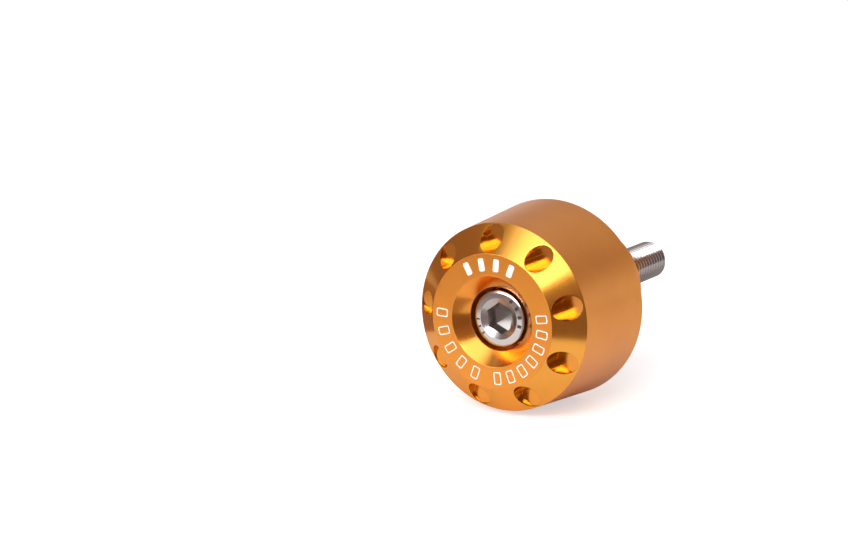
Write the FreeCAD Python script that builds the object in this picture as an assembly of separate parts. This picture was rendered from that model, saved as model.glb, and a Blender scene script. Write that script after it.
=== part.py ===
import FreeCAD, Part
import math
import os
from FreeCAD import Vector

os.makedirs("parts", exist_ok=True)

# The axis of the weight lies along Y. The outer face looks towards -Y, the neck and the free end of
# the screw point towards +Y, and +Z is up. The origin is the centre of the neck's end face, which
# is the face that seats against the handlebar. All sizes are in millimetres.

# Cap screw with a 7 mm thread, a knurled head and an internal hexagon
thread_diameter = 7.0
screw_length = 50.4
head_diameter = 10.2
head_height = 6.0
head_chamfer_width = 0.7
head_chamfer_depth = 0.5
hex_across_flats = 5.0
hex_depth = 3.2
hex_corner_angle = -7.0
hex_mouth_diameter = 7.4
hex_tip_angle = 120.0
underhead_radius = 0.25
thread_length = 24.0
thread_root_diameter = 5.8
thread_runout = 1.0
thread_tip_break = 0.4

# Room the weight leaves round the screw, on the diameter
shank_clearance = 0.6
head_clearance = 1.3

# Barrel, a drum that widens slightly from the front edge to the rear rim
rear_diameter = 36.0
front_diameter = 33.8
barrel_end = 22.2
rear_edge_break = 0.3

# Neck, the stepped-down cylinder that reaches the handlebar
neck_diameter = 23.0
overall_length = 34.0
neck_edge_break = 0.4
neck_root_radius = 0.3

# Outer face, a flat ring between the outer chamfer and the countersink
face_outer_diameter = 24.2
face_inner_diameter = 16.3
chamfer_depth = 4.0
countersink_depth = 2.4
seat_edge_break = 0.4

# Ring of blind holes that break through the outer chamfer, with their floors level with its rear edge
hole_count = 9
hole_diameter = 4.3
hole_pitch_radius = 14.45
hole_floor_depth = 4.0
first_hole_angle = -5.2

# Sizes that follow from the ones above. The head's top lies level with the countersink's inner edge.
counterbore_diameter = head_diameter + head_clearance
bore_diameter = thread_diameter + shank_clearance
seat_depth = countersink_depth + head_height
face_y = -overall_length
seat_y = face_y + seat_depth


def revolved(profile):
    """Turn a closed outline of (radius, y) corners about the Y axis."""
    points = [Vector(radius, y, 0) for radius, y in profile]
    outline = Part.makePolygon(points + points[:1])
    return Part.Face(outline).revolve(Vector(0, 0, 0), Vector(0, 1, 0), 360)


def circular_edges(solid, radius, y):
    """Find the full-circle edges of one radius, centred on the Y axis at one height."""
    found = []
    for edge in solid.Edges:
        curve = edge.Curve
        if not isinstance(curve, Part.Circle):
            continue
        if abs(curve.Radius - radius) < 1e-4 and curve.Center.distanceToPoint(Vector(0, y, 0)) < 1e-4:
            found.append(edge)
    return found


def around_axis(radius, angle, y):
    """Place a point at an angle from +Z, counted towards +X."""
    turn = math.radians(angle)
    return Vector(radius * math.sin(turn), y, radius * math.cos(turn))


# Weight body, turned from one bar
barrel_rear_y = face_y + barrel_end
weight = revolved([
    (bore_diameter / 2, seat_y),
    (counterbore_diameter / 2, seat_y),
    (counterbore_diameter / 2, face_y + countersink_depth),
    (face_inner_diameter / 2, face_y),
    (face_outer_diameter / 2, face_y),
    (front_diameter / 2, face_y + chamfer_depth),
    (rear_diameter / 2, barrel_rear_y),
    (neck_diameter / 2, barrel_rear_y),
    (neck_diameter / 2, 0),
    (bore_diameter / 2, 0),
])

# Edge breaks and the small root radius where the neck meets the shoulder
weight = weight.makeChamfer(rear_edge_break, circular_edges(weight, rear_diameter / 2, barrel_rear_y))
weight = weight.makeFillet(neck_root_radius, circular_edges(weight, neck_diameter / 2, barrel_rear_y))
weight = weight.makeChamfer(neck_edge_break, circular_edges(weight, neck_diameter / 2, 0))
bore_edges = circular_edges(weight, bore_diameter / 2, seat_y) + circular_edges(weight, bore_diameter / 2, 0)
weight = weight.makeChamfer(seat_edge_break, bore_edges)

# Blind holes, milled parallel to the axis to a flat floor
for index in range(hole_count):
    angle = first_hole_angle + index * 360.0 / hole_count
    start = around_axis(hole_pitch_radius, angle, face_y - 1.0)
    drill = Part.makeCylinder(hole_diameter / 2, hole_floor_depth + 1.0, start, Vector(0, 1, 0))
    weight = weight.cut(drill)

# Cap screw, seated on the floor of the counterbore, with a run-out groove where its thread begins
head_y = seat_y - head_height
tip_y = seat_y + screw_length
thread_start_y = tip_y - thread_length
runout_y = thread_start_y - thread_runout
screw = revolved([
    (0, head_y),
    (head_diameter / 2 - head_chamfer_width, head_y),
    (head_diameter / 2, head_y + head_chamfer_depth),
    (head_diameter / 2, seat_y),
    (thread_diameter / 2, seat_y),
    (thread_diameter / 2, runout_y),
    (thread_root_diameter / 2, runout_y),
    (thread_root_diameter / 2, thread_start_y),
    (thread_diameter / 2, thread_start_y),
    (thread_diameter / 2, tip_y),
    (0, tip_y),
])
screw = screw.makeFillet(underhead_radius, circular_edges(screw, thread_diameter / 2, seat_y))
screw = screw.makeChamfer(thread_tip_break, circular_edges(screw, thread_diameter / 2, tip_y))

# Hexagon socket with a conical floor and a countersunk mouth
hex_corner_radius = hex_across_flats / 2 / math.cos(math.pi / 6)
corners = [around_axis(hex_corner_radius, hex_corner_angle + 60.0 * k, head_y) for k in range(6)]
hex_face = Part.Face(Part.makePolygon(corners + corners[:1]))
socket = hex_face.extrude(Vector(0, hex_depth, 0))
tip_slope = math.tan(math.radians(hex_tip_angle / 2))
tip_radius = hex_across_flats / 2
hex_floor_y = head_y + hex_depth
point = Part.makeCone(tip_radius, 0, tip_radius / tip_slope, Vector(0, hex_floor_y, 0), Vector(0, 1, 0))
mouth_radius = hex_mouth_diameter / 2
mouth = Part.makeCone(mouth_radius, 0, mouth_radius / tip_slope, Vector(0, head_y, 0), Vector(0, 1, 0))
screw = screw.cut(socket.fuse(point)).cut(mouth)

weight.exportStep("parts/weight_body.step")
screw.exportStep("parts/cap_screw.step")
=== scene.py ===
import math

import bmesh
import bpy
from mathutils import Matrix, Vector


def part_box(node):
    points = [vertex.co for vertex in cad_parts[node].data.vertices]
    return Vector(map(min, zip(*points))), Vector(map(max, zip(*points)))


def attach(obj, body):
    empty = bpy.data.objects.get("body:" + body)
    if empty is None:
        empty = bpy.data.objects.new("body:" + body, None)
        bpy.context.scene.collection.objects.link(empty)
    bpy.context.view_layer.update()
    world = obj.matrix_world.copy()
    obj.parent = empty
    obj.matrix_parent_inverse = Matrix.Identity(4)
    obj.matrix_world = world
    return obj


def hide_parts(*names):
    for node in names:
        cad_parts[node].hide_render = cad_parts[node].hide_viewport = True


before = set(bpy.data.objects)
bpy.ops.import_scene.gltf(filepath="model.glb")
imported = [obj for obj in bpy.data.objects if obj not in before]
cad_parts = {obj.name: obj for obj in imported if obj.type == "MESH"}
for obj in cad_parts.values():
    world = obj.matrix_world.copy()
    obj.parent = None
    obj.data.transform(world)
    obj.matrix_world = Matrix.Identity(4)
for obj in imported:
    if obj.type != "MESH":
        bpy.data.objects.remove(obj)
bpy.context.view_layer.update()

MM = 0.001
FULL_TURN = 2 * math.pi

# Where the solids are. The axis lies along Y and the outer face looks towards -Y.
body_low, body_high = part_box("weight_body")
screw_low, screw_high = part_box("cap_screw")
FACE_Y = body_low.y
NECK_END_Y = body_high.y
HEAD_Y = screw_low.y
TIP_Y = screw_high.y
FLOOR_Z = body_low.z

# Weight: radii and the depths behind the outer face
REAR_RADIUS = 18.0 * MM
FRONT_RADIUS = 16.9 * MM
NECK_RADIUS = 11.5 * MM
FACE_OUTER_RADIUS = 12.1 * MM
FACE_INNER_RADIUS = 8.15 * MM
COUNTERBORE_RADIUS = 5.75 * MM
BORE_RADIUS = 3.8 * MM
CHAMFER_DEPTH = 4.0 * MM
COUNTERSINK_DEPTH = 2.4 * MM
BARREL_DEPTH = 22.2 * MM
HEAD_HEIGHT = 6.0 * MM
SEAT_Y = HEAD_Y + HEAD_HEIGHT

# Broken edges of the weight
MACHINED_EDGE = 0.12 * MM
COUNTERBORE_EDGE = 0.25 * MM
SEAT_EDGE = 0.2 * MM
SEAT_CHAMFER = 0.4 * MM
REAR_EDGE = 0.3 * MM
NECK_EDGE = 0.4 * MM

# Ring of blind holes
HOLE_COUNT = 9
HOLE_RADIUS = 2.15 * MM
HOLE_PITCH_RADIUS = 14.45 * MM
HOLE_FLOOR_DEPTH = 4.0 * MM
HOLE_MOUTH_EDGE = 0.07 * MM
HOLE_MOUTH_KNEE = 0.3 * HOLE_MOUTH_EDGE
HOLE_FLOOR_EDGE = 0.02 * MM
HOLE_SEGMENTS = 72
HOLE_STEP = FULL_TURN / HOLE_COUNT
FIRST_HOLE_ANGLE = math.radians(-5.2)

# Paint-filled marks on the flat ring of the face. Each arc has a count, its first angle and step in
# degrees, the width of a mark, and the stroke of its outline, which is 0 for a solid bar.
MARK_MEAN_RADIUS = 10.15 * MM
MARK_LENGTH = 2.3 * MM
MARK_CORNER = 0.3 * MM
MARK_CORNER_STEPS = 3
MARK_POCKET = 0.08 * MM
MARK_RECESS = 0.02 * MM
MARK_ARCS = {
    "marks_top": (4, -29.0, 16.7, 1.15 * MM, 0),
    "marks_right": (7, 80.5, 15.4, 1.5 * MM, 0.2 * MM),
    "marks_left": (5, 199.0, 18.3, 1.5 * MM, 0.2 * MM),
}

# Head of the cap screw. The arcs of its domed rim give, from the socket's mouth outwards, the radius
# in millimetres and the tilt in degrees at their outer ends, and their number of steps.
HEAD_CORE_RADIUS = 5.04 * MM
HEAD_REAR_EDGE = 0.15 * MM
UNDERHEAD_RADIUS = 0.25 * MM
DOME_ARCS = ((4.45, 8, 5), (4.72, 18, 6), (4.97, 34, 7), (5.04, 90, 5))
DOME_FIRST_TILT = 5

# Straight knurl on the side of the head. A tooth fills its share of the step to each side, its foot
# and its ends lie inside the head's core, and its crest rises over the length of the ramp.
KNURL_RADIUS = 5.1 * MM
KNURL_TEETH = 60
KNURL_STEP = FULL_TURN / KNURL_TEETH
KNURL_HALF_TOOTH = 0.46 * KNURL_STEP
KNURL_FOOT_RADIUS = HEAD_CORE_RADIUS - 0.1 * MM
KNURL_END_RADIUS = HEAD_CORE_RADIUS - 0.05 * MM
KNURL_FRONT_GAP = 0.55 * MM
KNURL_BACK_GAP = 0.35 * MM
KNURL_RAMP = 0.12 * MM

# Hexagon socket with a conical floor and a countersunk mouth
HEX_ACROSS_FLATS = 5.0 * MM
HEX_DEPTH = 3.2 * MM
HEX_ANGLE = math.radians(-7.0)
HEX_CONE_SLOPE = math.tan(math.radians(60))
HEX_CONE_TIP = 0.15 * MM
HEX_MOUTH_RADIUS = 3.7 * MM
HEX_MOUTH_FLARE = 0.05 * MM

# Dashes stamped into the top of the head. Each arc has a count, its first angle and step in degrees,
# and the width and length of a dash.
DASH_MEAN_RADIUS = 4.25 * MM
DASH_OUTER_RADIUS = 4.65 * MM
DASH_DEPTH = 0.2 * MM
DASH_ARCS = (
    (4, 36.0, 22.0, 0.58 * MM, 0.75 * MM),
    (3, 227.0, 18.0, 0.32 * MM, 0.62 * MM),
)

# Shank and thread. The thread is a ridge wound on its root, one turn longer at each end before it is
# trimmed, and its widths are shares of the pitch.
SHANK_RADIUS = 3.5 * MM
THREAD_ROOT_RADIUS = 2.9 * MM
THREAD_PITCH = 1.0 * MM
THREAD_LENGTH = 24.0 * MM
THREAD_START_Y = TIP_Y - THREAD_LENGTH
THREAD_TURNS = THREAD_LENGTH / THREAD_PITCH + 2
THREAD_ENTRY_Y = THREAD_START_Y - THREAD_PITCH
THREAD_ROOT_Y = THREAD_START_Y - 0.4 * THREAD_PITCH
THREAD_ENTRY_EDGE = 0.1 * MM
THREAD_TIP_BREAK = 0.4 * MM
THREAD_SUNK = 0.12 * MM
THREAD_ROOT_WIDTH = 0.92
THREAD_CREST_WIDTH = 0.16
THREAD_POINTS_PER_TURN = 56

# Finishes of the faces of each piece, in the order of its materials, and how nearly a face has to
# point the way the chamfer does to have its finish
WEIGHT_FINISHES = ("blasted", "chamfer", "recess", "hole wall")
SCREW_FINISHES = ("polished", "thread", "dash", "broached", "reamed")
SAME_WAY = 0.995

# Orange-gold anodise over blasted metal: the dye's deep and pale colours, blast grains per metre,
# bump strength and depth, roughness in the pits and on the crests, and the weight and roughness of
# the clear sealer
BLASTED_DEEP = (0.87, 0.30, 0.022)
BLASTED_PALE = (0.94, 0.35, 0.030)
BLASTED_GRAINS = 5500.0
BLASTED_BUMP = (0.25, 0.03 * MM)
BLASTED_ROUGHNESS = (0.42, 0.34)
BLASTED_SEALER = (0.6, 0.35)

# The same anodise over bright-turned metal, darkened on the walls of the holes as painted shade: deep and
# pale colours, roughness between the rings that the tool left and on them, and weight and roughness of the
# sealer
BRIGHT_ANODISE = {
    "chamfer": ((0.91, 0.375, 0.04), (0.95, 0.415, 0.05), (0.14, 0.24), (0.45, 0.12)),
    "recess": ((0.85, 0.31, 0.03), (0.90, 0.34, 0.04), (0.14, 0.24), (0.45, 0.12)),
    "hole wall": ((0.49, 0.302, 0.055), (0.53, 0.334, 0.065), (0.13, 0.19), (0.12, 0.12)),
}
BRIGHT_EDGE_TINT = (1.0, 0.62, 0.35)
SEALER_IOR = 1.6

# Stainless steel of the screw: colour and roughness. Inside the socket and on the countersink at its
# mouth the steel is darker than the polished steel as painted shade.
STAINLESS = {
    "polished": ((0.66, 0.63, 0.61), (0.12, 0.24)),
    "broached": ((0.42, 0.395, 0.38), (0.20, 0.30)),
    "reamed": ((0.50, 0.47, 0.455), (0.16, 0.26)),
}

# Rings per metre and bump that a lathe tool leaves
ANODISED_RINGS = 9000.0
STEEL_RINGS = 6000.0
TURNED_BUMP = (0.12, 0.01 * MM)

# Rolled thread, darker than the polished steel as painted shade and darker still in its grooves as painted
# shade;
# the bottoms and sides of the stamped dashes, painted dark as painted shade; and the paint of the marks
GROOVE_SHADE_COLOUR = (0.12, 0.11, 0.105)
SHADED_CREST_COLOUR = (0.48, 0.455, 0.44)
THREAD_ROUGHNESS = (0.1, 0.18)
STAMPED_SHADE_COLOUR = (0.13, 0.11, 0.10)
STAMPED_GRAINS = 9000.0
STAMPED_ROUGHNESS = (0.55, 0.45)
PAINT_HOLLOWS = (0.88, 0.80, 0.75)
PAINT_CRESTS = (0.96, 0.93, 0.90)
PAINT_GRAINS = 7000.0
PAINT_ROUGHNESS = 0.55
PAINT_BUMP = (0.3, 0.02 * MM)

# Textures: the shares of pits and swells in the blast grain and how many swells there are to a
# grain, the heights where its crests start and are full, and the ends of the dye's patches
PIT_SHARE = 0.7
SWELL_SHARE = 0.3
SWELLS_PER_GRAIN = 0.3
CREST_HEIGHTS = (0.42, 0.62)
DRIFTS_PER_METRE = 400.0
DYE_PATCH_ENDS = (0.3, 0.7)
NOISE_ROUGHNESS = 0.55

# Smoothness of the shapes, with the angles in degrees past which an edge stays sharp
BODY_SEGMENTS = 288
SCREW_SEGMENTS = 120
ARC_STEPS = 4
WEIGHT_SHARP_ANGLE = 35
SCREW_SHARP_ANGLE = 30

# How far a cutting shape starts in front of what it cuts, the thickness that tells two places
# apart, and how near points are merged
TOOL_REACH = 1.0 * MM
SKIN = 0.01 * MM
MERGE_DISTANCE = 1e-7


def around_axis(radius, angle, y):
    """A point at an angle from +Z, counted towards +X."""
    return Vector((radius * math.sin(angle), y, radius * math.cos(angle)))


def circle(radius, y, count):
    """Points in equal steps round the Y axis."""
    return [around_axis(radius, FULL_TURN * k / count, y) for k in range(count)]


def at_depth(pairs, y):
    """Points at one depth from (x, z) pairs."""
    return [Vector((x, y, z)) for x, z in pairs]


def rounded_outline(corners):
    """Turn (radius, y, rounding) corners of a closed outline into points, with an arc at each rounding."""
    points = []
    for index, (radius, y, rounding) in enumerate(corners):
        here = Vector((radius, y))
        if rounding == 0:
            points.append(here)
            continue
        before = Vector(corners[index - 1][:2])
        after = Vector(corners[(index + 1) % len(corners)][:2])
        to_before = (before - here).normalized()
        to_after = (after - here).normalized()
        half = to_before.angle(to_after) / 2
        centre = here + (to_before + to_after).normalized() * rounding / math.sin(half)
        reach = rounding / math.tan(half)
        first = here + to_before * reach - centre
        last = here + to_after * reach - centre
        sweep = math.pi - 2 * half
        for step in range(ARC_STEPS + 1):
            part = step / ARC_STEPS
            blend = first * math.sin((1 - part) * sweep) + last * math.sin(part * sweep)
            points.append(centre + blend / math.sin(sweep))
    return points


def mesh_object(name, fill):
    """Make an object at the origin from a function that fills a bmesh, with its faces pointing outwards."""
    work = bmesh.new()
    fill(work)
    bmesh.ops.remove_doubles(work, verts=work.verts, dist=MERGE_DISTANCE)
    bmesh.ops.recalc_face_normals(work, faces=work.faces)
    mesh = bpy.data.meshes.new(name)
    work.to_mesh(mesh)
    work.free()
    made = bpy.data.objects.new(name, mesh)
    bpy.context.scene.collection.objects.link(made)
    return made


def new_loops(work, rings):
    """Corners in a bmesh for each ring of points."""
    return [[work.verts.new(point) for point in ring] for ring in rings]


def join_loops(work, loops):
    """Fill the band between each loop of corners and the next."""
    for loop, following in zip(loops, loops[1:]):
        for k in range(len(loop)):
            after = (k + 1) % len(loop)
            corners = [loop[k], loop[after], following[after], following[k]]
            unique = list(dict.fromkeys(corners))
            if len(unique) > 2:
                work.faces.new(unique)


def fill_stack(work, rings):
    """A closed solid from rings of points, each ring joined to the next, with both ends filled."""
    loops = new_loops(work, rings)
    join_loops(work, loops)
    work.faces.new(loops[0])
    work.faces.new(loops[-1])


def fill_frame(work, rings):
    """A closed solid from rings of points, each ring joined to the next and the last to the first."""
    loops = new_loops(work, rings)
    join_loops(work, loops + loops[:1])


def turned(name, outline, segments):
    """A closed solid of revolution about Y from a closed outline of (radius, y) points."""
    def fill(work):
        loops = []
        for radius, y in map(Vector, outline):
            if radius < MERGE_DISTANCE:
                loops.append([work.verts.new((0, y, 0))] * segments)
            else:
                loops.extend(new_loops(work, [circle(radius, y, segments)]))
        join_loops(work, loops + loops[:1])
    return mesh_object(name, fill)


def settle(thing):
    """Replace an object's mesh by what its modifiers make of it, and remove them."""
    evaluated = thing.evaluated_get(bpy.context.evaluated_depsgraph_get())
    finished = bpy.data.meshes.new_from_object(evaluated)
    finished.name = thing.name
    old = thing.data
    thing.modifiers.clear()
    thing.data = finished
    bpy.data.meshes.remove(old)


def shape_with(thing, tool, operation):
    """Cut, join or intersect an object with a tool, which is then thrown away."""
    modifier = thing.modifiers.new("shape", "BOOLEAN")
    modifier.operation = operation
    modifier.solver = "EXACT"
    modifier.object = tool
    settle(thing)
    bpy.data.objects.remove(tool)


def give_finishes(thing, finishes, finish_at, materials):
    """Give an object its finishes, and each face the one that belongs at its place."""
    thing.data.materials.clear()
    for finish in finishes:
        thing.data.materials.append(materials[finish])
    for face in thing.data.polygons:
        face.material_index = finishes.index(finish_at(face.center, face.normal))


def finish_shading(thing, sharp_angle):
    """Shade smooth between sharp edges, with the large faces deciding the normals."""
    thing.data.shade_smooth()
    thing.data.set_sharp_from_angle(angle=math.radians(sharp_angle))
    modifier = thing.modifiers.new("even normals", "WEIGHTED_NORMAL")
    modifier.mode = "FACE_AREA"
    modifier.weight = 100
    modifier.keep_sharp = True
    settle(thing)


# Nodes of every kind of tree

def node(tree, kind, **settings):
    """Add a node and set its properties."""
    made = tree.nodes.new(kind)
    for name, value in settings.items():
        setattr(made, name, value)
    return made


def feed(tree, value, socket):
    """Link an output to a socket, or set the socket to a plain value."""
    if isinstance(value, bpy.types.NodeSocket):
        tree.links.new(value, socket)
    else:
        socket.default_value = value


def math_node(tree, operation, first, second=0.0):
    """Add a Math node whose inputs are links or numbers."""
    made = node(tree, "ShaderNodeMath", operation=operation)
    feed(tree, first, made.inputs[0])
    feed(tree, second, made.inputs[1])
    return made.outputs[0]


def split_xyz(tree, vector):
    """The X, Y and Z of a vector."""
    made = node(tree, "ShaderNodeSeparateXYZ")
    tree.links.new(vector, made.inputs[0])
    return made.outputs


def joined_xyz(tree, x, y, z):
    """A vector from links or numbers."""
    made = node(tree, "ShaderNodeCombineXYZ")
    for socket, value in zip(made.inputs, (x, y, z)):
        feed(tree, value, socket)
    return made.outputs[0]


# Geometry Nodes

def new_tree(name, inputs):
    """Start a tree with named inputs of given kinds. Returns the tree and what its inputs give."""
    tree = bpy.data.node_groups.new(name, "GeometryNodeTree")
    for label, kind in inputs.items():
        tree.interface.new_socket(name=label, in_out="INPUT", socket_type=kind)
    return tree, node(tree, "NodeGroupInput").outputs


def end_tree(tree, geometry, material):
    """Close a tree with Realize Instances and Set Material."""
    tree.interface.new_socket(name="Geometry", in_out="OUTPUT", socket_type="NodeSocketGeometry")
    realize = node(tree, "GeometryNodeRealizeInstances")
    paint = node(tree, "GeometryNodeSetMaterial")
    out = node(tree, "NodeGroupOutput")
    tree.links.new(geometry, realize.inputs[0])
    tree.links.new(realize.outputs[0], paint.inputs["Geometry"])
    tree.links.new(material, paint.inputs["Material"])
    tree.links.new(paint.outputs[0], out.inputs[0])


def ring_of_copies_tree():
    """Copies of one shape, turned about the Y axis in equal steps."""
    tree, given = new_tree("ring of copies", {
        "Shape": "NodeSocketGeometry",
        "Count": "NodeSocketInt",
        "First angle": "NodeSocketFloat",
        "Step": "NodeSocketFloat",
        "Material": "NodeSocketMaterial",
    })
    points = node(tree, "GeometryNodePoints")
    tree.links.new(given["Count"], points.inputs["Count"])
    index = node(tree, "GeometryNodeInputIndex").outputs[0]
    turned_by = math_node(tree, "MULTIPLY", index, given["Step"])
    angle = math_node(tree, "ADD", turned_by, given["First angle"])
    turn = node(tree, "FunctionNodeAxisAngleToRotation")
    turn.inputs["Axis"].default_value = (0, 1, 0)
    tree.links.new(angle, turn.inputs["Angle"])
    copies = node(tree, "GeometryNodeInstanceOnPoints")
    tree.links.new(points.outputs[0], copies.inputs["Points"])
    tree.links.new(given["Shape"], copies.inputs["Instance"])
    tree.links.new(turn.outputs[0], copies.inputs["Rotation"])
    end_tree(tree, copies.outputs[0], given["Material"])
    return tree


def thread_ridge_tree():
    """One turned ridge: a long tapered bar wrapped round the Y axis as a right-hand helix."""
    tree, given = new_tree("thread ridge", {
        "Start": "NodeSocketFloat",
        "Pitch": "NodeSocketFloat",
        "Turns": "NodeSocketFloat",
        "Points per turn": "NodeSocketInt",
        "Root radius": "NodeSocketFloat",
        "Crest radius": "NodeSocketFloat",
        "Root width": "NodeSocketFloat",
        "Crest width": "NodeSocketFloat",
        "Material": "NodeSocketMaterial",
    })
    bar = node(tree, "GeometryNodeMeshCube")
    rows = math_node(tree, "MULTIPLY", given["Turns"], given["Points per turn"])
    tree.links.new(rows, bar.inputs["Vertices Y"])
    # the bar is one unit each way: X becomes the height of the ridge, Y its run and Z its width
    place = split_xyz(tree, node(tree, "GeometryNodeInputPosition").outputs[0])
    rise = math_node(tree, "ADD", place["X"], 0.5)
    run = math_node(tree, "ADD", place["Y"], 0.5)
    depth = math_node(tree, "SUBTRACT", given["Crest radius"], given["Root radius"])
    height = math_node(tree, "MULTIPLY", rise, depth)
    radius = math_node(tree, "ADD", given["Root radius"], height)
    narrowing = math_node(tree, "SUBTRACT", given["Root width"], given["Crest width"])
    taken_off = math_node(tree, "MULTIPLY", rise, narrowing)
    width = math_node(tree, "SUBTRACT", given["Root width"], taken_off)
    side = math_node(tree, "MULTIPLY", place["Z"], width)
    turn = math_node(tree, "MULTIPLY", run, given["Turns"])
    travel = math_node(tree, "ADD", turn, side)
    along = math_node(tree, "MULTIPLY", travel, given["Pitch"])
    y = math_node(tree, "ADD", given["Start"], along)
    angle = math_node(tree, "MULTIPLY", turn, FULL_TURN)
    x = math_node(tree, "MULTIPLY", radius, math_node(tree, "SINE", angle))
    z = math_node(tree, "MULTIPLY", radius, math_node(tree, "COSINE", angle))
    move = node(tree, "GeometryNodeSetPosition")
    tree.links.new(bar.outputs["Mesh"], move.inputs["Geometry"])
    tree.links.new(joined_xyz(tree, x, y, z), move.inputs["Position"])
    end_tree(tree, move.outputs[0], given["Material"])
    return tree


def apply_tree(thing, tree, values):
    """Run a tree on an object with its inputs set by name, and keep the plain mesh."""
    modifier = thing.modifiers.new("nodes", "NODES")
    modifier.node_group = tree
    inputs = [item for item in tree.interface.items_tree if item.in_out == "INPUT"]
    identifiers = {item.name: item.identifier for item in inputs}
    for name, value in values.items():
        modifier[identifiers[name]] = value
    settle(thing)
    return thing


def copied_round(thing, ring_tree, count, first, step, material=None):
    """Copy a shape round the axis, from a first angle on and in equal steps."""
    values = {"Count": count, "First angle": first, "Step": step, "Material": material}
    return apply_tree(thing, ring_tree, values)


# Shader nodes

def shader_group(name, inputs, outputs):
    """Start a shader node group with named inputs (kind, value) and outputs (kind)."""
    group = bpy.data.node_groups.new(name, "ShaderNodeTree")
    for label, (kind, value) in inputs.items():
        socket = group.interface.new_socket(name=label, in_out="INPUT", socket_type=kind)
        socket.default_value = value
    for label, kind in outputs.items():
        group.interface.new_socket(name=label, in_out="OUTPUT", socket_type=kind)
    return group, node(group, "NodeGroupInput").outputs, node(group, "NodeGroupOutput").inputs


def object_place(tree):
    """The place on the piece, in its own metres."""
    return node(tree, "ShaderNodeTexCoord").outputs["Object"]


def radius_from_axis(tree, place):
    """How far a place lies from the Y axis, from its separate X and Z."""
    across = math_node(tree, "MULTIPLY", place["X"], place["X"])
    upright = math_node(tree, "MULTIPLY", place["Z"], place["Z"])
    return math_node(tree, "SQRT", math_node(tree, "ADD", across, upright))


def noise(tree, vector, scale, detail):
    """A noise value over the surface."""
    made = node(tree, "ShaderNodeTexNoise", noise_dimensions="3D")
    tree.links.new(vector, made.inputs["Vector"])
    feed(tree, scale, made.inputs["Scale"])
    made.inputs["Detail"].default_value = detail
    made.inputs["Roughness"].default_value = NOISE_ROUGHNESS
    return made.outputs["Fac"]


def ranged(tree, value, source=(0.0, 1.0), target=(0.0, 1.0), curve="LINEAR"):
    """Map a value from one range to another, held at the ends."""
    made = node(tree, "ShaderNodeMapRange", interpolation_type=curve)
    for name, end in zip(("From Min", "From Max", "To Min", "To Max"), (*source, *target)):
        made.inputs[name].default_value = end
    tree.links.new(value, made.inputs["Value"])
    return made.outputs[0]


def mixed(tree, factor, low, high):
    """Mix two colours, each a link or a plain colour."""
    made = node(tree, "ShaderNodeMix", data_type="RGBA")
    tree.links.new(factor, made.inputs["Factor"])
    feed(tree, low, made.inputs["A"])
    feed(tree, high, made.inputs["B"])
    return made.outputs["Result"]


def blast_grain_group():
    """Fine pits left by bead blasting: a height, and a mask that is 1 on the crests."""
    group, given, out = shader_group(
        "blast grain",
        {"Grains per metre": ("NodeSocketFloat", BLASTED_GRAINS)},
        {"Height": "NodeSocketFloat", "Crests": "NodeSocketFloat"},
    )
    place = object_place(group)
    swells_per_metre = math_node(group, "MULTIPLY", given["Grains per metre"], SWELLS_PER_GRAIN)
    pits = noise(group, place, given["Grains per metre"], 2.0)
    swells = noise(group, place, swells_per_metre, 2.0)
    fine = math_node(group, "MULTIPLY", pits, PIT_SHARE)
    coarse = math_node(group, "MULTIPLY", swells, SWELL_SHARE)
    height = math_node(group, "ADD", fine, coarse)
    group.links.new(height, out["Height"])
    group.links.new(ranged(group, height, source=CREST_HEIGHTS), out["Crests"])
    return group


def turning_marks_group():
    """Fine rings that a lathe tool leaves round the Y axis, a little uneven."""
    group, given, out = shader_group(
        "turning marks",
        {"Rings per metre": ("NodeSocketFloat", ANODISED_RINGS), "Unevenness": ("NodeSocketFloat", 0.3)},
        {"Height": "NodeSocketFloat", "Streaks": "NodeSocketFloat"},
    )
    place = split_xyz(group, object_place(group))
    rings = joined_xyz(group, radius_from_axis(group, place), place["Y"], 0.0)
    streaks = noise(group, rings, given["Rings per metre"], 2.0)
    drift = noise(group, object_place(group), DRIFTS_PER_METRE, 1.0)
    uneven = math_node(group, "MULTIPLY", drift, given["Unevenness"])
    group.links.new(math_node(group, "ADD", streaks, uneven), out["Height"])
    group.links.new(streaks, out["Streaks"])
    return group


def dye_variation_group():
    """Slow change of depth in an anodise dye, between a deep and a pale colour."""
    group, given, out = shader_group(
        "dye variation",
        {
            "Deep": ("NodeSocketColor", (*BLASTED_DEEP, 1)),
            "Pale": ("NodeSocketColor", (*BLASTED_PALE, 1)),
            "Patches per metre": ("NodeSocketFloat", 90.0),
        },
        {"Colour": "NodeSocketColor"},
    )
    patches = noise(group, object_place(group), given["Patches per metre"], 3.0)
    spread = ranged(group, patches, source=DYE_PATCH_ENDS)
    group.links.new(mixed(group, spread, given["Deep"], given["Pale"]), out["Colour"])
    return group


def placed(tree, group, **values):
    """Place a node group in a material with its own values."""
    made = node(tree, "ShaderNodeGroup", node_tree=group)
    for name, value in values.items():
        made.inputs[name.replace("_", " ")].default_value = value
    return made.outputs


# Materials

def new_material(name, colour, metallic, roughness):
    """A material with a Principled BSDF. Returns the material, its tree and the shader's inputs."""
    material = bpy.data.materials.new(name)
    material.use_nodes = True
    tree = material.node_tree
    shader = tree.nodes["Principled BSDF"].inputs
    shader["Base Color"].default_value = (*colour, 1)
    shader["Metallic"].default_value = metallic
    shader["Roughness"].default_value = roughness
    material.diffuse_color = (*colour, 1)
    return material, tree, shader


def bumped(tree, shader, height, strength, distance):
    """Feed a height through a Bump node into the shader's normal."""
    bump = node(tree, "ShaderNodeBump")
    bump.inputs["Strength"].default_value = strength
    bump.inputs["Distance"].default_value = distance
    tree.links.new(height, bump.inputs["Height"])
    tree.links.new(bump.outputs[0], shader["Normal"])


def sealed(shader, weight, roughness):
    """Put a clear sealer over the metal."""
    shader["Coat Weight"].default_value = weight
    shader["Coat Roughness"].default_value = roughness
    shader["Coat IOR"].default_value = SEALER_IOR


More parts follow.
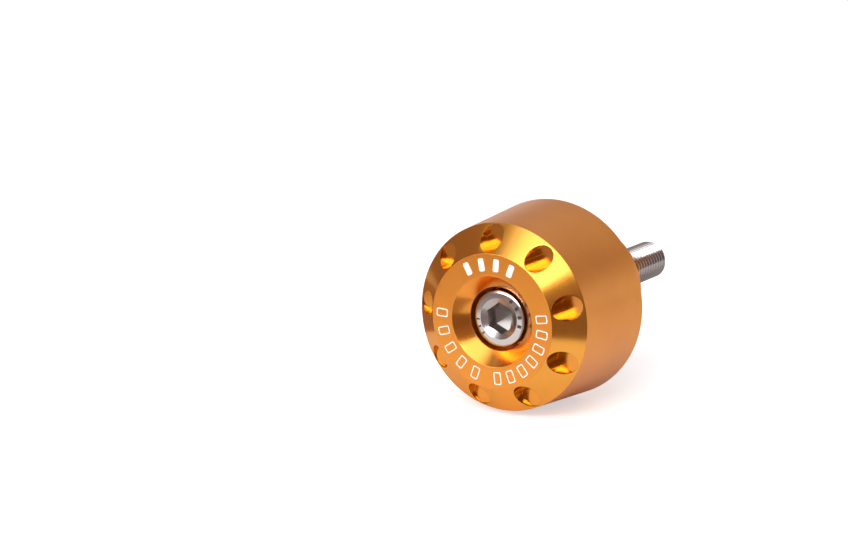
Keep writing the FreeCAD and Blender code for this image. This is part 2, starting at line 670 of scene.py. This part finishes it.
def blasted_anodise(groups):
    """Orange-gold anodise over a bead-blasted surface: barrel, neck and the flat of the face."""
    material, tree, shader = new_material("blasted anodise", BLASTED_DEEP, 1.0, BLASTED_ROUGHNESS[0])
    dye = placed(tree, groups["dye"], Deep=(*BLASTED_DEEP, 1), Pale=(*BLASTED_PALE, 1))
    grain = placed(tree, groups["grain"], Grains_per_metre=BLASTED_GRAINS)
    tree.links.new(dye["Colour"], shader["Base Color"])
    tree.links.new(ranged(tree, grain["Crests"], target=BLASTED_ROUGHNESS), shader["Roughness"])
    bumped(tree, shader, grain["Height"], *BLASTED_BUMP)
    sealed(shader, *BLASTED_SEALER)
    return material


def bright_anodise(groups, name, deep, pale, roughness, sealer):
    """The same anodise over bright-turned metal, from its deep to its pale colour."""
    material, tree, shader = new_material(name, deep, 1.0, roughness[0])
    dye = placed(tree, groups["dye"], Deep=(*deep, 1), Pale=(*pale, 1))
    marks = placed(tree, groups["turning"], Rings_per_metre=ANODISED_RINGS)
    tree.links.new(dye["Colour"], shader["Base Color"])
    tree.links.new(ranged(tree, marks["Streaks"], target=roughness), shader["Roughness"])
    bumped(tree, shader, marks["Height"], *TURNED_BUMP)
    shader["Specular Tint"].default_value = (*BRIGHT_EDGE_TINT, 1)
    sealed(shader, *sealer)
    return material


def stainless(groups, name, colour, roughness):
    """Stainless steel of the cap screw, with light turning marks."""
    material, tree, shader = new_material(name, colour, 1.0, roughness[0])
    marks = placed(tree, groups["turning"], Rings_per_metre=STEEL_RINGS)
    tree.links.new(ranged(tree, marks["Streaks"], target=roughness), shader["Roughness"])
    bumped(tree, shader, marks["Height"], *TURNED_BUMP)
    return material


def shaded_rolled_thread(groups):
    """Steel of the rolled thread, darker than the polished steel as painted shade, and darker still towards
    its grooves as painted shade.
    """
    material, tree, shader = new_material("rolled thread", SHADED_CREST_COLOUR, 1.0, THREAD_ROUGHNESS[0])
    marks = placed(tree, groups["turning"], Rings_per_metre=STEEL_RINGS)
    tree.links.new(ranged(tree, marks["Streaks"], target=THREAD_ROUGHNESS), shader["Roughness"])
    # Painted shade: the colour runs from the dark groove colour at the root of the thread to the crest
    # colour at its crests.
    radius = radius_from_axis(tree, split_xyz(tree, object_place(tree)))
    crests = ranged(tree, radius, source=(THREAD_ROOT_RADIUS, SHANK_RADIUS), curve="SMOOTHSTEP")
    colour = mixed(tree, crests, (*GROOVE_SHADE_COLOUR, 1), (*SHADED_CREST_COLOUR, 1))
    tree.links.new(colour, shader["Base Color"])
    return material


def shaded_stamped_steel(groups):
    """Dull steel at the bottom and sides of the stamped dashes, painted dark as painted shade."""
    material, tree, shader = new_material("shaded stamped steel", STAMPED_SHADE_COLOUR, 1.0, STAMPED_ROUGHNESS[0])
    grain = placed(tree, groups["grain"], Grains_per_metre=STAMPED_GRAINS)
    tree.links.new(ranged(tree, grain["Crests"], target=STAMPED_ROUGHNESS), shader["Roughness"])
    return material


def mark_paint(groups):
    """Off-white paint in the engraved marks."""
    material, tree, shader = new_material("mark paint", PAINT_HOLLOWS, 0.0, PAINT_ROUGHNESS)
    grain = placed(tree, groups["grain"], Grains_per_metre=PAINT_GRAINS)
    colour = mixed(tree, grain["Crests"], (*PAINT_HOLLOWS, 1), (*PAINT_CRESTS, 1))
    tree.links.new(colour, shader["Base Color"])
    bumped(tree, shader, grain["Height"], *PAINT_BUMP)
    return material


def all_materials():
    """Every finish of the weight and the screw, by name."""
    groups = {"grain": blast_grain_group(), "turning": turning_marks_group(), "dye": dye_variation_group()}
    materials = {
        "blasted": blasted_anodise(groups),
        "thread": shaded_rolled_thread(groups),
        "dash": shaded_stamped_steel(groups),
        "paint": mark_paint(groups),
    }
    for finish, values in BRIGHT_ANODISE.items():
        materials[finish] = bright_anodise(groups, f"{finish} anodise", *values)
    for finish, values in STAINLESS.items():
        materials[finish] = stainless(groups, f"{finish} stainless", *values)
    return materials


# Weight body

def chamfer_y(radius):
    """Where the cone of the outer chamfer lies at a radius."""
    slope = CHAMFER_DEPTH / (FRONT_RADIUS - FACE_OUTER_RADIUS)
    return FACE_Y + (radius - FACE_OUTER_RADIUS) * slope


def hole_tool():
    """The shape that one blind hole takes out, with a broken edge where it opens on the chamfer."""
    floor_y = FACE_Y + HOLE_FLOOR_DEPTH

    def ring(radius, depth_of):
        points = []
        for k in range(HOLE_SEGMENTS):
            angle = FULL_TURN * k / HOLE_SEGMENTS
            x = radius * math.sin(angle)
            z = HOLE_PITCH_RADIUS + radius * math.cos(angle)
            points.append(Vector((x, min(depth_of(math.hypot(x, z)), floor_y - HOLE_FLOOR_EDGE), z)))
        return points
    mouth = HOLE_RADIUS + HOLE_MOUTH_EDGE
    knee = HOLE_RADIUS + HOLE_MOUTH_KNEE
    floor = ring(HOLE_RADIUS - HOLE_FLOOR_EDGE, lambda radius: floor_y)
    rings = [
        ring(mouth, lambda radius: FACE_Y - TOOL_REACH),
        ring(mouth, chamfer_y),
        ring(knee, lambda radius: chamfer_y(radius) + HOLE_MOUTH_KNEE),
        ring(HOLE_RADIUS, lambda radius: chamfer_y(radius) + HOLE_MOUTH_EDGE),
        ring(HOLE_RADIUS, lambda radius: floor_y),
        [Vector((point.x, floor_y, point.z)) for point in floor],
    ]
    return mesh_object("hole tool", lambda work: fill_stack(work, rings))


def rounded_bar(length, width, corner):
    """Corner points of a flat bar at the top of the mark ring, as (x, z) pairs."""
    points = []
    centres = ((1, 1, 0), (1, -1, 1), (-1, -1, 2), (-1, 1, 3))
    for side, end, quarter in centres:
        x = side * (width / 2 - corner)
        z = MARK_MEAN_RADIUS + end * (length / 2 - corner)
        for step in range(MARK_CORNER_STEPS + 1):
            angle = FULL_TURN / 4 * (quarter + step / MARK_CORNER_STEPS)
            points.append((x + corner * math.sin(angle), z + corner * math.cos(angle)))
    return points


def mark_arc(name, ring_tree, arc, front, back, paint):
    """One arc of marks between two depths: solid bars, or outlined bars where a stroke is given."""
    count, first, step, width, stroke = arc
    outer = rounded_bar(MARK_LENGTH, width, MARK_CORNER)
    rings = [at_depth(outer, front), at_depth(outer, back)]
    fill_with = fill_stack
    if stroke > 0:
        inner = rounded_bar(MARK_LENGTH - 2 * stroke, width - 2 * stroke, MARK_CORNER - stroke / 2)
        rings += [at_depth(inner, back), at_depth(inner, front)]
        fill_with = fill_frame
    marks = mesh_object(name, lambda work: fill_with(work, rings))
    return copied_round(marks, ring_tree, count, math.radians(first), math.radians(step), paint)


def all_marks(ring_tree, front, back, paint=None):
    """The three arcs of marks round the face."""
    return [mark_arc(name, ring_tree, arc, front, back, paint) for name, arc in MARK_ARCS.items()]


def weight_outline():
    """Half section of the weight, with every machined edge broken."""
    barrel_end = FACE_Y + BARREL_DEPTH
    return rounded_outline([
        (BORE_RADIUS, SEAT_Y + SEAT_CHAMFER, 0),
        (BORE_RADIUS + SEAT_CHAMFER, SEAT_Y, 0),
        (COUNTERBORE_RADIUS, SEAT_Y, SEAT_EDGE),
        (COUNTERBORE_RADIUS, FACE_Y + COUNTERSINK_DEPTH, COUNTERBORE_EDGE),
        (FACE_INNER_RADIUS, FACE_Y, MACHINED_EDGE),
        (FACE_OUTER_RADIUS, FACE_Y, MACHINED_EDGE),
        (FRONT_RADIUS, FACE_Y + CHAMFER_DEPTH, MACHINED_EDGE),
        (REAR_RADIUS, barrel_end, REAR_EDGE),
        (NECK_RADIUS, barrel_end, REAR_EDGE),
        (NECK_RADIUS, NECK_END_Y - NECK_EDGE, 0),
        (NECK_RADIUS - NECK_EDGE, NECK_END_Y, 0),
        (BORE_RADIUS + SEAT_CHAMFER, NECK_END_Y, 0),
        (BORE_RADIUS, NECK_END_Y - SEAT_CHAMFER, 0),
    ])


def weight_finish(centre, normal):
    """Which of WEIGHT_FINISHES a face of the weight has."""
    angle = math.atan2(centre.x, centre.z)
    radius = math.hypot(centre.x, centre.z)
    depth = centre.y - FACE_Y
    on_chamfer = radius > FACE_OUTER_RADIUS + 0.3 * MACHINED_EDGE and depth < CHAMFER_DEPTH
    outwards = around_axis(CHAMFER_DEPTH, angle, FACE_OUTER_RADIUS - FRONT_RADIUS)
    if on_chamfer and normal.dot(outwards.normalized()) > SAME_WAY:
        return "chamfer"
    nearest = round((angle - FIRST_HOLE_ANGLE) / HOLE_STEP) * HOLE_STEP
    hole_axis = around_axis(HOLE_PITCH_RADIUS, nearest + FIRST_HOLE_ANGLE, centre.y)
    in_hole = (centre - hole_axis).length < HOLE_RADIUS + 2 * HOLE_MOUTH_EDGE
    on_hole_floor = in_hole and abs(depth - HOLE_FLOOR_DEPTH) < HOLE_FLOOR_EDGE / 2
    past_counterbore = radius > COUNTERBORE_RADIUS + 0.8 * COUNTERBORE_EDGE
    inside_face = radius < FACE_INNER_RADIUS - 0.5 * MACHINED_EDGE
    in_recess = past_counterbore and inside_face and depth < COUNTERSINK_DEPTH
    if in_recess or on_hole_floor:
        return "recess"
    # The walls of the holes take the anodise that is darkened as painted shade.
    if in_hole and depth < HOLE_FLOOR_DEPTH:
        return "hole wall"
    return "chamfer" if on_chamfer else "blasted"


def make_weight(ring_tree, materials):
    """The weight: turned, drilled, engraved, and finished blasted or bright by place."""
    weight = turned("weight", weight_outline(), BODY_SEGMENTS)
    holes = copied_round(hole_tool(), ring_tree, HOLE_COUNT, FIRST_HOLE_ANGLE, HOLE_STEP)
    shape_with(weight, holes, "DIFFERENCE")
    for pockets in all_marks(ring_tree, FACE_Y - TOOL_REACH, FACE_Y + MARK_POCKET):
        shape_with(weight, pockets, "DIFFERENCE")
    give_finishes(weight, WEIGHT_FINISHES, weight_finish, materials)
    finish_shading(weight, WEIGHT_SHARP_ANGLE)
    return weight


# Cap screw

def head_dome():
    """Points over the domed rim of the head, from the socket's mouth to the side of the head."""
    points = [Vector((0, HEAD_Y)), Vector((HEX_MOUTH_RADIUS, HEAD_Y))]
    first = math.radians(DOME_FIRST_TILT)
    for end_radius, end_tilt, steps in DOME_ARCS:
        spot = points[-1]
        last = math.radians(end_tilt)
        bend = (end_radius * MM - spot.x) / (math.sin(last) - math.sin(first))
        for step in range(1, steps + 1):
            tilt = first + (last - first) * step / steps
            outwards = bend * (math.sin(tilt) - math.sin(first))
            back = bend * (math.cos(first) - math.cos(tilt))
            points.append(spot + Vector((outwards, back)))
        first = last
    return points


def screw_core():
    """Head, shank and thread root in one turned solid."""
    outline = head_dome() + rounded_outline([
        (HEAD_CORE_RADIUS, SEAT_Y - HEAD_HEIGHT / 2, 0),
        (HEAD_CORE_RADIUS, SEAT_Y, HEAD_REAR_EDGE),
        (SHANK_RADIUS, SEAT_Y, UNDERHEAD_RADIUS),
        (SHANK_RADIUS, THREAD_ENTRY_Y, THREAD_ENTRY_EDGE),
        (THREAD_ROOT_RADIUS, THREAD_ROOT_Y, THREAD_ENTRY_EDGE),
        (THREAD_ROOT_RADIUS, TIP_Y, 0),
        (0, TIP_Y, 0),
    ])
    return turned("screw", outline, SCREW_SEGMENTS)


def knurl(ring_tree):
    """Straight teeth round the side of the head."""
    front = HEAD_Y + KNURL_FRONT_GAP
    back = SEAT_Y - KNURL_BACK_GAP

    def section(y, crest):
        left = around_axis(KNURL_FOOT_RADIUS, -KNURL_HALF_TOOTH, y)
        right = around_axis(KNURL_FOOT_RADIUS, KNURL_HALF_TOOTH, y)
        return [left, around_axis(crest, 0, y), right]
    rings = [
        section(front, KNURL_END_RADIUS),
        section(front + KNURL_RAMP, KNURL_RADIUS),
        section(back - KNURL_RAMP, KNURL_RADIUS),
        section(back, KNURL_END_RADIUS),
    ]
    tooth = mesh_object("knurl", lambda work: fill_stack(work, rings))
    return copied_round(tooth, ring_tree, KNURL_TEETH, 0.0, KNURL_STEP)


def socket_tool():
    """Hexagon socket with a conical floor, as a forging punch leaves it."""
    corner = HEX_ACROSS_FLATS / 2 / math.cos(FULL_TURN / 12)
    floor_y = HEAD_Y + HEX_DEPTH
    sizes = (
        (corner, HEAD_Y - TOOL_REACH),
        (corner, floor_y),
        (HEX_CONE_TIP, floor_y + corner / HEX_CONE_SLOPE),
    )

    def hexagon(radius, y):
        return [around_axis(radius, HEX_ANGLE + FULL_TURN * k / 6, y) for k in range(6)]
    rings = [hexagon(radius, y) for radius, y in sizes]
    return mesh_object("socket tool", lambda work: fill_stack(work, rings))


def mouth_tool():
    """Countersink at the mouth of the socket."""
    front = HEAD_Y - TOOL_REACH
    outline = [
        (0, front),
        (HEX_MOUTH_RADIUS + HEX_MOUTH_FLARE, front),
        (HEX_MOUTH_RADIUS, HEAD_Y),
        (0, HEAD_Y + HEX_MOUTH_RADIUS / HEX_CONE_SLOPE),
    ]
    return turned("mouth tool", outline, SCREW_SEGMENTS)


def dash_tool(ring_tree, arc):
    """One arc of small plain dashes stamped into the top of the head."""
    count, first, step, width, length = arc
    corners = ((1, 1), (1, -1), (-1, -1), (-1, 1))
    outline = [(a * width / 2, DASH_MEAN_RADIUS + b * length / 2) for a, b in corners]
    rings = [at_depth(outline, HEAD_Y - TOOL_REACH), at_depth(outline, HEAD_Y + DASH_DEPTH)]
    dashes = mesh_object("dash tool", lambda work: fill_stack(work, rings))
    return copied_round(dashes, ring_tree, count, math.radians(first), math.radians(step))


def thread_ridge(thread_tree, material):
    """The helical ridge, with its ends running out and a chamfered tip."""
    ridge = mesh_object("thread", lambda work: work.verts.new((0, 0, 0)))
    apply_tree(ridge, thread_tree, {
        "Start": THREAD_ENTRY_Y,
        "Pitch": THREAD_PITCH,
        "Turns": THREAD_TURNS,
        "Points per turn": THREAD_POINTS_PER_TURN,
        "Root radius": THREAD_ROOT_RADIUS - THREAD_SUNK,
        "Crest radius": SHANK_RADIUS,
        "Root width": THREAD_ROOT_WIDTH,
        "Crest width": THREAD_CREST_WIDTH,
        "Material": material,
    })
    envelope = turned("thread envelope", [
        (0, THREAD_ENTRY_Y),
        (THREAD_ROOT_RADIUS, THREAD_ENTRY_Y),
        (SHANK_RADIUS + SKIN, THREAD_START_Y + THREAD_PITCH / 2),
        (SHANK_RADIUS + SKIN, TIP_Y - THREAD_TIP_BREAK),
        (SHANK_RADIUS - THREAD_TIP_BREAK, TIP_Y),
        (0, TIP_Y),
    ], SCREW_SEGMENTS)
    shape_with(ridge, envelope, "INTERSECT")
    return ridge


def screw_finish(centre, normal):
    """Which of SCREW_FINISHES a face of the screw has."""
    if centre.y > THREAD_ENTRY_Y:
        return "polished" if centre.y > TIP_Y - SKIN else "thread"
    radius = math.hypot(centre.x, centre.z)
    depth = centre.y - HEAD_Y
    # Inside the socket and on its mouth the steel is darkened as painted shade.
    if radius < HEX_MOUTH_RADIUS and depth > SKIN:
        on_mouth = abs(normal.y) > 0.5 and depth < HEX_DEPTH / 2
        return "reamed" if on_mouth else "broached"
    # The bottoms and sides of the dashes take the steel that is painted dark as painted shade.
    in_dash = radius < DASH_OUTER_RADIUS and depth < 1.1 * DASH_DEPTH
    on_dash_floor = abs(depth - DASH_DEPTH) < 0.01 * DASH_DEPTH
    on_dash_wall = abs(normal.y) < 0.1
    return "dash" if in_dash and (on_dash_floor or on_dash_wall) else "polished"


def make_screw(ring_tree, thread_tree, materials):
    """The cap screw with its knurl, socket, stamped dashes and thread."""
    thread = thread_ridge(thread_tree, materials["thread"])
    screw = screw_core()
    shape_with(screw, knurl(ring_tree), "UNION")
    shape_with(screw, mouth_tool(), "DIFFERENCE")
    shape_with(screw, socket_tool(), "DIFFERENCE")
    for arc in DASH_ARCS:
        shape_with(screw, dash_tool(ring_tree, arc), "DIFFERENCE")
    shape_with(screw, thread, "UNION")
    give_finishes(screw, SCREW_FINISHES, screw_finish, materials)
    finish_shading(screw, SCREW_SHARP_ANGLE)
    return screw


# Studio

IMAGE_WIDTH = 848
IMAGE_HEIGHT = 555
SENSOR_WIDTH = 36.0
FOCAL_PIXELS = 3146.0
FACE_CENTRE_X = 491.6
FACE_CENTRE_Y = 321.8
FACE_DISTANCE = 0.549
CAMERA_AZIMUTH = math.radians(32.1)
CAMERA_ELEVATION = math.radians(13.1)

# Brightness of the surroundings by the height of a direction, from straight down to straight up,
# and how far towards +Y the room gives way to the backdrop
ROOM_STOPS = ((-1.0, 0.9), (-0.3, 0.6), (-0.1, 0.28), (0.6, 0.3), (1.0, 0.8))
BACKDROP_STOPS = ((-1.0, 0.9), (0.0, 0.95), (0.2, 0.68), (0.34, 0.36), (0.7, 0.6), (1.0, 0.8))
BACKDROP_ENDS = (0.25, 0.75)

# Light panels on the camera's side: distance, azimuth, elevation, roll, width and height, then the
# brightness at the left end and from a share of the width on
PANELS = {
    "softbox": (0.60, 3, 53, 0, 0.76, 0.48, 0.33, 2.45, 0.58),
    "front panel": (0.58, -1, 27, 13, 0.66, 0.17, 8.0, 8.0, 0.5),
}

# Dark curved cards that keep parts of the floor out of the reflections: radius, first and last
# azimuth, lower and upper edge, glow
FLAGS = {
    "flag right": (50 * MM, 36, 84, -18 * MM, 8 * MM, 0.24),
    "flag middle": (50 * MM, 8, 36, -18 * MM, 8 * MM, 0.36),
    "flag front": (76 * MM, -60, 8, -15 * MM, 6 * MM, 0.38),
    "flag high": (75 * MM, -60, 8, 0 * MM, 14 * MM, 0.24),
    "flag left": (52 * MM, -135, -72, -18 * MM, 2 * MM, 0.33),
}
FLAG_STEPS = 24

# A dark card that lies on the floor between the weight and the camera: its corners (x, y), how far
# it lies above the floor, and its glow
FLOOR_CARD_CORNERS = ((8 * MM, -38 * MM), (8 * MM, -130 * MM), (80 * MM, -94 * MM))
FLOOR_CARD_LIFT = 0.1 * MM
FLOOR_CARD_GLOW = 0.42

# What the dim surroundings take out of white light, from where it starts to where it is full
DIM_TINT = (1.0, 0.68, 0.64)
TINT_STARTS = 0.6
TINT_FULL = 0.3

# The floor: how far it reaches in metres, its finish, and how much it is lifted towards white, for
# the camera and for reflections of its back and front parts. The front part fades in between two
# places along Y.
FLOOR_REACH = 3.0
FLOOR_COLOUR = (0.78, 0.78, 0.78)
FLOOR_ROUGHNESS = 0.8
FLOOR_LIFT_SEEN = 0.56
FLOOR_LIFT_MIRRORED = (0.0, 0.11)
FLOOR_FRONT_ENDS = (-20 * MM, -45 * MM)


def direction(azimuth, elevation):
    """The direction from the object towards a place: azimuth 0 is -Y, and +X is to its right."""
    flat = math.cos(elevation)
    return Vector((math.sin(azimuth) * flat, -math.cos(azimuth) * flat, math.sin(elevation)))


def make_camera():
    """A camera that sees the centre of the face where the photograph has it."""
    back = direction(CAMERA_AZIMUTH, CAMERA_ELEVATION)
    right = Vector((math.cos(CAMERA_AZIMUTH), math.sin(CAMERA_AZIMUTH), 0))
    up = back.cross(right)
    metres_per_pixel = FACE_DISTANCE / FOCAL_PIXELS
    sideways = (FACE_CENTRE_X - IMAGE_WIDTH / 2) * metres_per_pixel
    downwards = (FACE_CENTRE_Y - IMAGE_HEIGHT / 2) * metres_per_pixel
    data = bpy.data.cameras.new("camera")
    data.sensor_width = SENSOR_WIDTH
    data.lens = FOCAL_PIXELS * SENSOR_WIDTH / IMAGE_WIDTH
    data.clip_start = 0.01
    camera = bpy.data.objects.new("camera", data)
    bpy.context.scene.collection.objects.link(camera)
    face_centre = Vector((0, FACE_Y, 0))
    camera.location = face_centre + back * FACE_DISTANCE - right * sideways + up * downwards
    camera.rotation_euler = back.to_track_quat("Z", "Y").to_euler()
    bpy.context.scene.camera = camera


def dimmed(brightness):
    """White at full brightness, and tinted where the surroundings are dim."""
    share = min(max((TINT_STARTS - brightness) / (TINT_STARTS - TINT_FULL), 0), 1)
    return [brightness * (1 - share * (1 - tint)) for tint in DIM_TINT]


def brightness_by_height(tree, height, stops):
    """A brightness that changes with the height of a direction, from (height, brightness) stops."""
    ramp = node(tree, "ShaderNodeValToRGB")
    ramp.color_ramp.interpolation = "EASE"
    elements = ramp.color_ramp.elements
    while len(elements) < len(stops):
        elements.new(0.5)
    for element, (level, brightness) in zip(elements, stops):
        element.position = (level + 1) / 2
        element.color = (*dimmed(brightness), 1)
    tree.links.new(ranged(tree, height, source=(-1.0, 1.0)), ramp.inputs[0])
    return ramp.outputs[0]


def make_world():
    """A studio with a white backdrop behind the object and a dim room on the camera's side."""
    world = bpy.data.worlds.new("studio")
    bpy.context.scene.world = world
    world.use_nodes = True
    tree = world.node_tree
    place = split_xyz(tree, node(tree, "ShaderNodeTexCoord").outputs["Generated"])
    behind = ranged(tree, place["Y"], source=BACKDROP_ENDS, curve="SMOOTHSTEP")
    room = brightness_by_height(tree, place["Z"], ROOM_STOPS)
    backdrop = brightness_by_height(tree, place["Z"], BACKDROP_STOPS)
    around = mixed(tree, behind, room, backdrop)
    seen = node(tree, "ShaderNodeLightPath").outputs["Is Camera Ray"]
    white = mixed(tree, seen, around, (1, 1, 1, 1))
    tree.links.new(white, tree.nodes["Background"].inputs["Color"])


def make_panel(name, distance, azimuth, elevation, roll, width, height, dim, bright, fade):
    """A glowing panel that faces the object and fades out towards its left end."""
    azimuth, elevation, roll = math.radians(azimuth), math.radians(elevation), math.radians(roll)
    towards = direction(azimuth, elevation)
    level = Vector((math.cos(azimuth), math.sin(azimuth), 0))
    side = level * math.cos(roll) + towards.cross(level) * math.sin(roll)
    upright = towards.cross(side)
    middle = Vector((0, FACE_Y / 2, 0)) + towards * distance

    def fill(work):
        corners = ((-1, -1), (-1, 1), (1, 1), (1, -1))
        offsets = [side * (a * width / 2) + upright * (b * height / 2) for a, b in corners]
        work.faces.new([work.verts.new(middle + offset) for offset in offsets])
    panel = mesh_object(name, fill)
    material = bpy.data.materials.new(name)
    material.use_nodes = True
    tree = material.node_tree
    tree.nodes.clear()
    across = node(tree, "ShaderNodeVectorMath", operation="DOT_PRODUCT")
    tree.links.new(object_place(tree), across.inputs[0])
    across.inputs[1].default_value = side
    left_end = middle.dot(side) - width / 2
    fade_ends = (left_end, middle.dot(side) + width * (fade - 0.5))
    glow = node(tree, "ShaderNodeEmission")
    brightness = ranged(tree, across.outputs["Value"], fade_ends, (dim, bright), "SMOOTHERSTEP")
    tree.links.new(brightness, glow.inputs["Strength"])
    tree.links.new(glow.outputs[0], node(tree, "ShaderNodeOutputMaterial").inputs["Surface"])
    panel.data.materials.append(material)
    panel.visible_camera = False


def make_dark_card(name, fill, glow):
    """A dim card that only reflections show."""
    card = mesh_object(name, fill)
    material, tree, shader = new_material(name, (0.0, 0.0, 0.0), 0.0, 1.0)
    shader["Specular IOR Level"].default_value = 0.0
    shader["Emission Color"].default_value = (*dimmed(glow), 1)
    shader["Emission Strength"].default_value = 1.0
    card.data.materials.append(material)
    card.visible_camera = False
    card.visible_diffuse = False
    card.visible_shadow = False


def make_flag(name, radius, first, last, low_edge, high_edge, glow):
    """A dim card that stands in an arc round the outer face."""
    def fill(work):
        low, high = [], []
        for step in range(FLAG_STEPS + 1):
            azimuth = math.radians(first + (last - first) * step / FLAG_STEPS)
            spot = Vector((0, FACE_Y, 0)) + direction(azimuth, 0) * radius
            low.append(work.verts.new((spot.x, spot.y, low_edge)))
            high.append(work.verts.new((spot.x, spot.y, high_edge)))
        for k in range(FLAG_STEPS):
            work.faces.new([low[k], low[k + 1], high[k + 1], high[k]])
    make_dark_card(name, fill, glow)


def make_floor_card():
    """A dim card that lies on the floor."""
    def fill(work):
        level = FLOOR_Z + FLOOR_CARD_LIFT
        work.faces.new([work.verts.new((x, y, level)) for x, y in FLOOR_CARD_CORNERS])
    make_dark_card("floor card", fill, FLOOR_CARD_GLOW)


def make_floor():
    """A plain pale floor that keeps the object's shadow and reads white to the camera."""
    def fill(work):
        corners = ((-1, -1), (1, -1), (1, 1), (-1, 1))
        work.faces.new([work.verts.new((a * FLOOR_REACH, b * FLOOR_REACH, FLOOR_Z)) for a, b in corners])
    floor = mesh_object("floor", fill)
    material, tree, shader = new_material("floor", FLOOR_COLOUR, 0.0, FLOOR_ROUGHNESS)
    shader["Specular IOR Level"].default_value = 0.0
    path = node(tree, "ShaderNodeLightPath").outputs
    seen = math_node(tree, "MULTIPLY", path["Is Camera Ray"], FLOOR_LIFT_SEEN)
    place = split_xyz(tree, object_place(tree))
    lift = ranged(tree, place["Y"], FLOOR_FRONT_ENDS, FLOOR_LIFT_MIRRORED)
    mirrored = math_node(tree, "MULTIPLY", path["Is Glossy Ray"], lift)
    shader["Emission Color"].default_value = (1, 1, 1, 1)
    tree.links.new(math_node(tree, "ADD", seen, mirrored), shader["Emission Strength"])
    floor.data.materials.append(material)


def main():
    materials = all_materials()
    ring_tree = ring_of_copies_tree()
    thread_tree = thread_ridge_tree()

    weight = make_weight(ring_tree, materials)
    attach(weight, "root")
    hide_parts("weight_body")

    for marks in all_marks(ring_tree, FACE_Y + MARK_RECESS, FACE_Y + MARK_POCKET, materials["paint"]):
        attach(marks, "root")

    screw = make_screw(ring_tree, thread_tree, materials)
    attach(screw, "root")
    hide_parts("cap_screw")

    make_floor()
    make_world()
    for name, panel in PANELS.items():
        make_panel(name, *panel)
    for name, flag in FLAGS.items():
        make_flag(name, *flag)
    make_floor_card()
    make_camera()
    bpy.context.scene.view_settings.view_transform = "Standard"


main()
